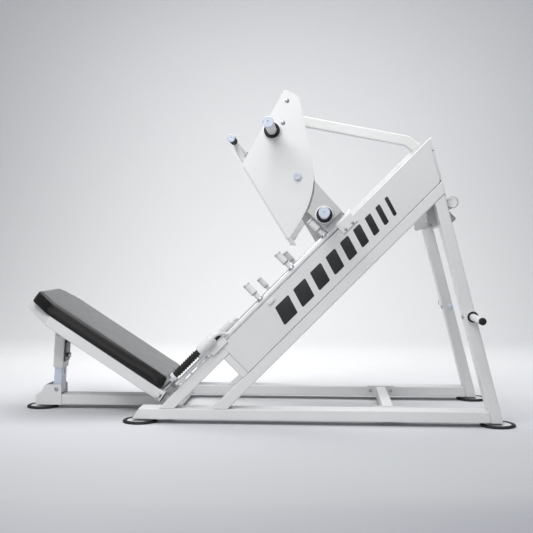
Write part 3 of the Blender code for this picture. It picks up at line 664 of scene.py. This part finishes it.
def make_horn_trim():
    """On each weight horn: a rim on its flange, whiter than the frame as a painted highlight, a rubber bumper
    ring and a moulded cap in its end.
    """
    rim = [(0.0216, -0.0002), (0.0380, -0.0002), (0.0392, 0.0008), (0.0392, 0.0022), (0.0382, 0.0030),
           (0.0216, 0.0030)]
    bumper = [(0.0214, 0.0031), (0.0340, 0.0031), (0.0352, 0.0045), (0.0352, 0.013), (0.0330, 0.0165),
              (0.0260, 0.0175), (0.0214, 0.0165)]
    cap = [(0, -0.016), (0.0166, -0.016), (0.0168, -0.001), (0.0238, -0.0008), (0.0238, 0.0060),
           (0.0222, 0.0086), (0.0200, 0.0092), (0.0192, 0.0082), (0.0060, 0.0086), (0.0052, 0.0060),
           (0, 0.0058)]
    for side, sign in SIDES:
        outward = Y_AXIS * sign
        for level in ("upper", "lower"):
            node = f"{level}_horn_{side}"
            root, tip = ends(node, sign)
            axis = Vector((middle(node).x, 0, middle(node).z))
            flange = axis + Y_AXIS * root + outward * 0.0053
            # The flange rim is whiter than the frame as a painted highlight.
            piece(f"{node}_collar", turned(flange, outward, rim, 64, ring=True), FLANGE_PAINTED_HIGHLIGHT, "sled", 50.0)
            piece(f"{node}_bumper", turned(flange, outward, bumper, 64, ring=True), RUBBER, "sled", 50.0)
            piece(f"{node}_cap", turned(axis + Y_AXIS * tip, outward, cap, 56), CAP, "sled")


def make_sled_trim():
    """The side plates' bolts, the caps of the cross shaft and push bar, and the small parts of the sled."""
    cap = [(0, -0.001), (0.0165, 0), (0.0165, 0.0045), (0.0150, 0.0065), (0.0135, 0.0070), (0.0128, 0.0060),
           (0.0050, 0.0064), (0.0042, 0.0046), (0, 0.0044)]
    for side, sign in SIDES:
        outward = Y_AXIS * sign
        face = ends(f"sled_side_plate_{side}", sign)[1]
        places = [Vector((x, face, z)) for x, z in ((0.148, 1.437), (0.1305, 1.340))]
        bolts(f"side_plate_bolts_{side}", places, outward, "sled", radius=0.0075)
        shaft = middle("sled_cross_shaft")
        place = Vector((shaft.x, ends("sled_cross_shaft", sign)[1] + sign * 0.0002, shaft.z))
        piece(f"cross_shaft_cap_{side}", turned(place, outward, cap, 48), CAP, "sled")
        bar = middle(f"push_bar_grip_{side}")
        place = Vector((bar.x, ends("push_bar", sign)[1] + sign * 0.0001, bar.z))
        piece(f"push_bar_cap_{side}", turned(place, outward, cap, 48), CAP, "sled")
        make_housing_trim(side, sign)
        make_grip_ribs(f"push_bar_grip_{side}", Y_AXIS, 0.0165, 0.0105, "sled")
    make_foot_plate_studs()


def make_housing_trim(side, sign):
    """Cap screws on the bearing housing, and a rubber wiper on each end."""
    node = f"bearing_housing_{side}"
    s_low, s_high = span(node, RAIL)
    top = span(node, OFF)[1]
    y = middle(node).y
    places = [rail(s, top, y + dy) for s in (s_low + 0.016, s_high - 0.016) for dy in (-0.022, 0.022)]
    bolts(f"housing_screws_{side}", places, OFF, "sled", radius=0.0050)
    inner, outer = 0.0100, 0.0165
    turns = [math.radians(angle) for angle in range(-20, 201, 20)]
    outline = [(outer * math.cos(turn), outer * math.sin(turn)) for turn in turns]
    outline += [(inner * math.cos(turn), inner * math.sin(turn)) for turn in reversed(turns)]
    centre_n = span(f"guide_rail_{side}", OFF)[1] - SHAFT_RADIUS
    shape = bmesh.new()
    for s in (s_low - 0.0032, s_high + 0.0002):
        prism(outline, rail(s, centre_n, sign * BEAM_Y), Y_AXIS, OFF, 0.003, 0, shape)
    piece(f"housing_wipers_{side}", shape, RUBBER, "sled", bevel=0.0004)


def make_grip_ribs(node, axis, radius, pitch, body):
    """Raised rings along a rubber grip."""
    low, high = span(node, axis)
    centre = middle(node)
    rib = [(radius - 0.0012, -0.0030), (radius - 0.0002, -0.0022), (radius, -0.0010), (radius, 0.0010),
           (radius - 0.0002, 0.0022), (radius - 0.0012, 0.0030)]
    count = int((high - low - 0.012) / pitch)
    start = (low + high - (count - 1) * pitch) / 2
    shape = bmesh.new()
    for number in range(count):
        base = centre + axis * (start + number * pitch - centre.dot(axis))
        turned(base, axis, rib, 40, ring=True, shape=shape)
    piece(f"{node}_ribs", shape, GRIP, body, 60.0)


def make_foot_plate_studs():
    """Rows of raised round studs that give the shoe its grip."""
    lean = math.radians(31.3)
    down = Vector((math.sin(lean), 0, -math.cos(lean)))
    front = Vector((-math.cos(lean), 0, -math.sin(lean)))
    face = span("foot_plate", front)[1] - 0.0001
    low, high = span("foot_plate", down)
    rows, columns, margin, pitch = 11, 17, 0.040, 0.042
    dome = [(0.0062, 0), (0.0058, 0.0012), (0.0040, 0.0021), (0.0015, 0.0025), (0, 0.0025)]
    shape = bmesh.new()
    for row in range(rows):
        along = low + margin + (high - low - 2 * margin) * row / (rows - 1)
        count = columns - row % 2
        for column in range(count):
            y = (column - (count - 1) / 2) * pitch
            turned(front * face + down * along + Y_AXIS * y, front, dome, 12, shape=shape)
    piece("foot_plate_studs", shape, SLED, "sled", 60.0)


def make_stop_trim():
    """On each stop rod: a sleeve, a knob and a tip on the handle, and collars on the posts."""
    sleeve = [(0.0088, 0), (0.0200, 0), (0.0222, 0.003), (0.0222, 0.082), (0.0200, 0.087), (0.0120, 0.088),
              (0.0088, 0.088)]
    knob = [(0, 0.001), (0.0170, 0.001), (0.0190, -0.001), (0.0190, -0.011), (0.0165, -0.013),
            (0.0165, -0.0135), (0, -0.0135)]
    tip = [(0, 0), (0.0150, 0), (0.0150, -0.011), (0.0125, -0.015), (0, -0.0155)]
    collars = [
        [(0.0112, 0.0100), (0.0150, 0.0100), (0.0150, 0.0150), (0.0125, 0.0190), (0.0112, 0.0190)],
        # The middle collar, under each post's head, is a real collar whose dark steel is also painted shade for
        # the shadow line below the head.
        [(0.0112, 0.0468), (0.0162, 0.0472), (0.0168, 0.0484), (0.0168, 0.0500), (0.0158, 0.0512),
         (0.0112, 0.0512)],
        [(0.0156, 0.0960), (0.0161, 0.0968), (0.0161, 0.0992), (0.0156, 0.1000)],
    ]
    for side, sign in SIDES:
        body = f"stops_{side}"
        grip = middle(f"stop_grip_{side}")
        n, y = grip.dot(OFF), grip.y
        piece(f"handle_sleeve_{side}", turned(rail(0.0640, n, y), RAIL, sleeve, 56, ring=True), SLEEVE, body)
        piece(f"handle_knob_{side}", turned(rail(-0.0885, n, y), RAIL, knob, 40), SLEEVE, body)
        piece(f"handle_end_{side}", turned(rail(-0.1022, n, y), RAIL, tip, 40), PIN_STEEL, body)
        make_grip_ribs(f"stop_grip_{side}", RAIL, 0.0172, 0.0125, body)
        shape = bmesh.new()
        for s in POST_STATIONS:
            for collar in collars:
                turned(rail(s, ROD_N, sign * ROD_Y), OFF, collar, 32, ring=True, shape=shape)
        piece(f"post_collars_{side}", shape, BOLT, body)


def make_bench_trim():
    """The heads of the hinge pin and of the prop's bolts, the bench tubes' caps and the slots' inserts."""
    head = [(0, 0), (0.0110, 0), (0.0114, 0.001), (0.0104, 0.003), (0.0050, 0.0040), (0.0045, 0.0030),
            (0, 0.0030)]
    for side, sign in SIDES:
        outward = Y_AXIS * sign
        pin = middle("bench_hinge_pin")
        place = Vector((pin.x, ends("bench_hinge_pin", sign)[1] + sign * 0.0001, pin.z))
        piece(f"hinge_pin_head_{side}", turned(place, outward, head, 40), SLEEVE, "frame")
        bolts(f"prop_pivot_bolt_{side}", [PROP_FOOT + outward * 0.0566], outward, "frame", radius=0.0080)
        place = bench(0.4187, -0.165, sign * 0.205)
        cap = prism(rectangle(0.037, 0.047, 0.004), place, Y_AXIS, PAD_UP, 0.003, 0.0008)
        piece(f"bench_tube_cap_{side}", cap, BLACK_PLASTIC, "backrest")
        place = Vector((-0.4496, sign * 0.2252, 0.0963))
        insert = slab(rectangle(0.0056, 0.0170, 0.0026, 5), place, -sign, 0.0012, 0.0004, BACK, PAD_UP)
        piece(f"bench_slot_{side}", insert, BLACK_PLASTIC, "backrest")
        bolts(f"prop_head_bolt_{side}", [PROP_HEAD + outward * 0.0662], outward, "prop_upper", radius=0.0085)


def make_plunger():
    """The plate that the pull pin comes through, with its collar and screws, and the prop's bush. The plate's
    near-black colour is painted shade for the post's shadowed side.
    """
    out = Y_AXIS.cross(PROP_RUN)
    face = PROP_FOOT + PROP_RUN * 0.1655 + out * 0.0252
    corners = [(-0.043, -0.030), (0.043, -0.030), (0.043, 0.062), (0.030, 0.078), (-0.030, 0.078),
               (-0.043, 0.062)]
    outline = rounded(corners, [0.006, 0.006, 0.006, 0.004, 0.004, 0.006], 4)
    shape = prism(outline, face, Y_AXIS, PROP_RUN, 0.0050, 0.0012)
    collar = [(0.0068, 0), (0.0110, 0), (0.0110, 0.0025), (0.0098, 0.0035), (0.0068, 0.0035)]
    turned(face + out * 0.0046, out, collar, 40, ring=True, shape=shape)
    # The plate's near-black colour is painted shade for the post's shadowed side.
    piece("plunger_plate", shape, PROP_PAINTED_SHADE, "prop_upper")
    screws = [face + out * 0.0048 + Y_AXIS * across + PROP_RUN * 0.060 for across in (-0.030, 0.030)]
    bolts("plunger_screws", screws, out, "prop_upper", radius=0.0045)
    make_prop_bush(out)


def make_prop_bush(out):
    """The bush at the foot of the prop's outer tube, which the inner tube slides through."""
    base = PROP_FOOT + PROP_RUN * 0.1055
    outside = rectangle(0.0985, 0.0485, 0.005)
    hollow = rectangle(0.0815, 0.0415, 0.003)
    height = 0.004
    shape = bmesh.new()
    rings = []
    for profile, distance in ((hollow, 0), (outside, 0), (outside, height), (hollow, height)):
        rings.append([shape.verts.new(base + Y_AXIS * a + out * b + PROP_RUN * distance) for a, b in profile])
    for first, second in zip(rings, rings[1:] + rings[:1]):
        band(shape, first, second)
    piece("prop_bush", shape, SLEEVE, "prop_upper")


# ---- The pad


def drawn_in(outline, distance, centre_p):
    """Moves each point of a rim in p and y towards the pad's middle, and never past y = 0."""
    return [(p - math.copysign(distance, p - centre_p), y - math.copysign(min(distance, abs(y)), y))
            for p, y in outline]


def pad_outline(inset):
    """The pad's rim in p and y, with the head end's corners cut off, drawn in by the inset."""
    p_low, p_high = span("back_pad", BACK)
    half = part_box("back_pad")[1].y
    cut_p, cut_y = 0.095, 0.060
    corners = [(p_low, -half), (p_high - cut_p, -half), (p_high, cut_y - half), (p_high, half - cut_y),
               (p_high - cut_p, half), (p_low, half)]
    outline = rounded(corners, [0.020, 0.090, 0.045, 0.045, 0.090, 0.020], 8)
    return drawn_in(outline, inset, (p_low + p_high) / 2)


def make_pad():
    """The stuffed back pad: its top swells and its sides bow, while its board keeps the underside flat."""
    inset, swell, middle_p = 0.002, 0.003, 0.82
    q_low, q_high = span("back_pad", PAD_UP)
    levels = [(q_low, 0.003), (q_low + 0.003, 0.0), (q_high - 0.009, 0.0), (q_high - 0.005, 0.0012),
              (q_high - 0.003, 0.004), (q_high - 0.0024, 0.010)]
    shape = bmesh.new()
    rings = []
    for q, pull in levels:
        rim = drawn_in(pad_outline(inset), pull, middle_p)
        rings.append([shape.verts.new(bench(p, q, y)) for p, y in rim])
    for first, second in zip(rings, rings[1:]):
        band(shape, first, second)
    shape.faces.new(rings[0])
    shape.faces.new(rings[-1])
    pad = piece("back_pad_cushion", shape, VINYL, "backrest", 180.0)
    remesh = pad.modifiers.new("remesh", "REMESH")
    remesh.mode = "VOXEL"
    remesh.voxel_size = 0.005
    apply_modifiers(pad)
    inflate(pad, q_low, swell)
    smooth = pad.modifiers.new("smooth", "CORRECTIVE_SMOOTH")
    smooth.use_only_smooth = True
    smooth.iterations = 4
    subdivide = pad.modifiers.new("subdivide", "SUBSURF")
    subdivide.levels = 1
    subdivide.render_levels = 1
    apply_modifiers(pad)
    pad.data.shade_smooth()
    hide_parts("back_pad")
    make_piping(pad, q_high)


def apply_modifiers(thing):
    graph = bpy.context.evaluated_depsgraph_get()
    made = bpy.data.meshes.new_from_object(thing.evaluated_get(graph), depsgraph=graph)
    thing.modifiers.clear()
    thing.data = made


def inflate(pad, q_low, swell):
    """Swells the cover by cloth pressure. Its underside is held, and no point moves more than the swell."""
    start = [vertex.co.copy() for vertex in pad.data.vertices]
    held = pad.vertex_groups.new(name="held")
    board = [vertex.index for vertex in pad.data.vertices if vertex.co.dot(PAD_UP) < q_low + 0.016]
    held.add(board, 1.0, "REPLACE")
    cloth = pad.modifiers.new("cloth", "CLOTH")
    settings = cloth.settings
    settings.quality = 5
    settings.mass = 0.4
    settings.tension_stiffness = 14
    settings.compression_stiffness = 14
    settings.shear_stiffness = 8
    settings.bending_stiffness = 6.0
    settings.use_pressure = True
    settings.uniform_pressure_force = 4.0
    settings.vertex_group_mass = "held"
    settings.effector_weights.gravity = 0.0
    cloth.collision_settings.use_collision = False
    scene = bpy.context.scene
    for step in range(1, 21):
        scene.frame_set(step)
    graph = bpy.context.evaluated_depsgraph_get()
    moved = [vertex.co.copy() for vertex in pad.evaluated_get(graph).data.vertices]
    pad.modifiers.clear()
    scene.frame_set(1)
    for vertex, before, after in zip(pad.data.vertices, start, moved):
        shift = after - before
        if shift.length > swell:
            shift *= swell / shift.length
        vertex.co = before + shift
    pad.data.update()


def make_piping(pad, q_high):
    """The sewn welt and the seam below it round the pad's sides, laid on the swollen cover."""
    surface = BVHTree.FromPolygons([v.co for v in pad.data.vertices], [f.vertices for f in pad.data.polygons])
    spacing, core_low, core_high = 0.012, 0.55, 1.05
    rim = []
    outline = pad_outline(0.05)
    for (p0, y0), (p1, y1) in zip(outline, outline[1:] + outline[:1]):
        count = max(1, int(math.hypot(p1 - p0, y1 - y0) / spacing))
        rim += [(p0 + (p1 - p0) * k / count, y0 + (y1 - y0) * k / count) for k in range(count)]
    seams = (("pad_welt", q_high - 0.0125, 0.0002, 0.0014), ("pad_lower_seam", q_high - 0.050, -0.0004, 0.0010))
    for name, q, lift, radius in seams:
        path = []
        for p, y in rim:
            # Each ray starts inside the cover and leaves it on the other side, so the hits go once round.
            start = bench(p, q, y)
            heading = bench(min(max(p, core_low), core_high), q, y * 0.3) - start
            hit = surface.ray_cast(start, heading.normalized())
            if hit[0]:
                path.append(hit[0] + hit[1] * lift)
        piece(name, sweep(path, PAD_UP, circle(radius, 10)), VINYL, "backrest", 180.0)


# ---- The stage


def make_stage():
    """A pale floor that curves up into a pale wall, with painted shade that darkens it away from the middle."""
    profile = [(-9.0, 0.0), (3.2, 0.0)]
    centre_y, radius = 3.2, 2.2
    profile += [(centre_y + radius * math.sin(a), radius - radius * math.cos(a))
                for a in (math.radians(step * 6) for step in range(1, 16))]
    profile.append((centre_y + radius, 9.0))
    shape = bmesh.new()
    left = [shape.verts.new((-9.0, y, z)) for y, z in profile]
    right = [shape.verts.new((9.0, y, z)) for y, z in profile]
    for index in range(len(profile) - 1):
        shape.faces.new((left[index], right[index], right[index + 1], left[index + 1]))
    mesh = bpy.data.meshes.new("studio_sweep")
    shape.to_mesh(mesh)
    shape.free()
    mesh.shade_smooth()
    floor = bpy.data.objects.new("studio_sweep", mesh)
    bpy.context.scene.collection.objects.link(floor)
    floor.data.materials.append(studio_paper())


def studio_paper():
    """Pale paper with a painted pool of light round a spot behind the machine, and painted shade, darker and
    bluer, away from that spot and towards the camera.
    """
    paint = Paint("studio_paper", (0.80, 0.81, 0.82), 0.75)
    paint.shader.inputs["Specular IOR Level"].default_value = 0.10
    away = paint.node("ShaderNodeVectorMath", operation="SUBTRACT")
    away.inputs[1].default_value = (-0.45, 3.6, 0.45)
    paint.link(paint.place, away.inputs[0])
    scaled = paint.node("ShaderNodeVectorMath", operation="MULTIPLY")
    scaled.inputs[1].default_value = (1.0, 0.62, 1.0)
    paint.link(away.outputs["Vector"], scaled.inputs[0])
    far = paint.node("ShaderNodeVectorMath", operation="LENGTH")
    paint.link(scaled.outputs["Vector"], far.inputs[0])
    # Painted light falloff: darker with distance from the painted pool of light.
    painted_spot_falloff = paint.between(far.outputs["Value"], 0.0, 0.66, 0.6, 4.6)
    apart = paint.node("ShaderNodeSeparateXYZ")
    paint.link(paint.place, apart.inputs[0])
    # Painted shade that darkens the floor towards the camera.
    painted_front_shade = paint.between(apart.outputs["Y"], 0.50, 0.0, -1.7, 1.7)
    mottle = paint.between(paint.noise(0.8, 2.0), -0.01, 0.01)
    painted_shade_sum = paint.node("ShaderNodeMath", operation="ADD")
    paint.link(painted_spot_falloff, painted_shade_sum.inputs[0])
    paint.link(painted_front_shade, painted_shade_sum.inputs[1])
    painted_shade_and_mottle = paint.node("ShaderNodeMath", operation="ADD")
    paint.link(painted_shade_sum.outputs["Value"], painted_shade_and_mottle.inputs[0])
    paint.link(mottle, painted_shade_and_mottle.inputs[1])
    # The ramp turns the painted light and shade into colour: pale in the painted pool of light, darker and bluer
    # in the painted shade.
    stops = [(0.0, (0.80, 0.805, 0.81)), (0.24, (0.74, 0.75, 0.76)), (0.50, (0.65, 0.66, 0.675)),
             (0.66, (0.61, 0.62, 0.655)), (0.80, (0.52, 0.53, 0.55)), (0.93, (0.46, 0.47, 0.485)),
             (1.0, (0.37, 0.375, 0.41))]
    paint.link(paint.ramp(painted_shade_and_mottle.outputs["Value"], stops), paint.shader.inputs["Base Color"])
    return paint.material


def add_light(name, place, target, size, power):
    light = bpy.data.lights.new(name, "AREA")
    light.shape = "RECTANGLE"
    light.size, light.size_y = size
    light.energy = power
    lamp = bpy.data.objects.new(name, light)
    lamp.location = place
    lamp.rotation_euler = (Vector(target) - Vector(place)).to_track_quat("-Z", "Y").to_euler()
    bpy.context.scene.collection.objects.link(lamp)


def make_light():
    """A dim sky, a soft key box, a low fill from the front, a wide box overhead and a wash on the wall."""
    world = bpy.data.worlds.new("studio")
    bpy.context.scene.world = world
    world.use_nodes = True
    sky = world.node_tree.nodes["Background"]
    sky.inputs["Color"].default_value = (0.97, 0.98, 1.0, 1)
    sky.inputs["Strength"].default_value = 0.34
    add_light("key_box", (-0.7, -2.4, 3.0), (0.3, 0.0, 1.0), (2.0, 1.5), 72)
    add_light("front_fill", (-1.2, -4.2, 1.0), (-0.2, 0.0, 0.4), (2.6, 1.4), 16)
    add_light("top_box", (0.3, 0.4, 3.6), (0.2, 0.3, 0.0), (4.2, 2.6), 90)
    add_light("wall_wash", (0.0, 1.2, 3.6), (0.0, 5.2, 0.8), (5.0, 1.4), 100)


def make_camera():
    """A long lens half way up the machine, to the right of its middle and turned a little to the left."""
    data = bpy.data.cameras.new("camera")
    data.sensor_width = 36.0
    data.lens = 60.8
    camera = bpy.data.objects.new("camera", data)
    camera.location = (0.315, -4.375, 0.781)
    camera.rotation_euler = (math.radians(90 - 1.1), 0, math.radians(3.7))
    bpy.context.scene.collection.objects.link(camera)
    bpy.context.scene.camera = camera


def main():
    make_camera()
    make_light()
    make_stage()
    bpy.context.scene.view_settings.view_transform = "Standard"
    dress_cad()
    make_feet()
    make_guide_rails()
    make_end_caps()
    make_stripes()
    make_frame_bolts()
    make_horn_trim()
    make_sled_trim()
    make_stop_trim()
    make_bench_trim()
    make_plunger()
    make_pad()


main()
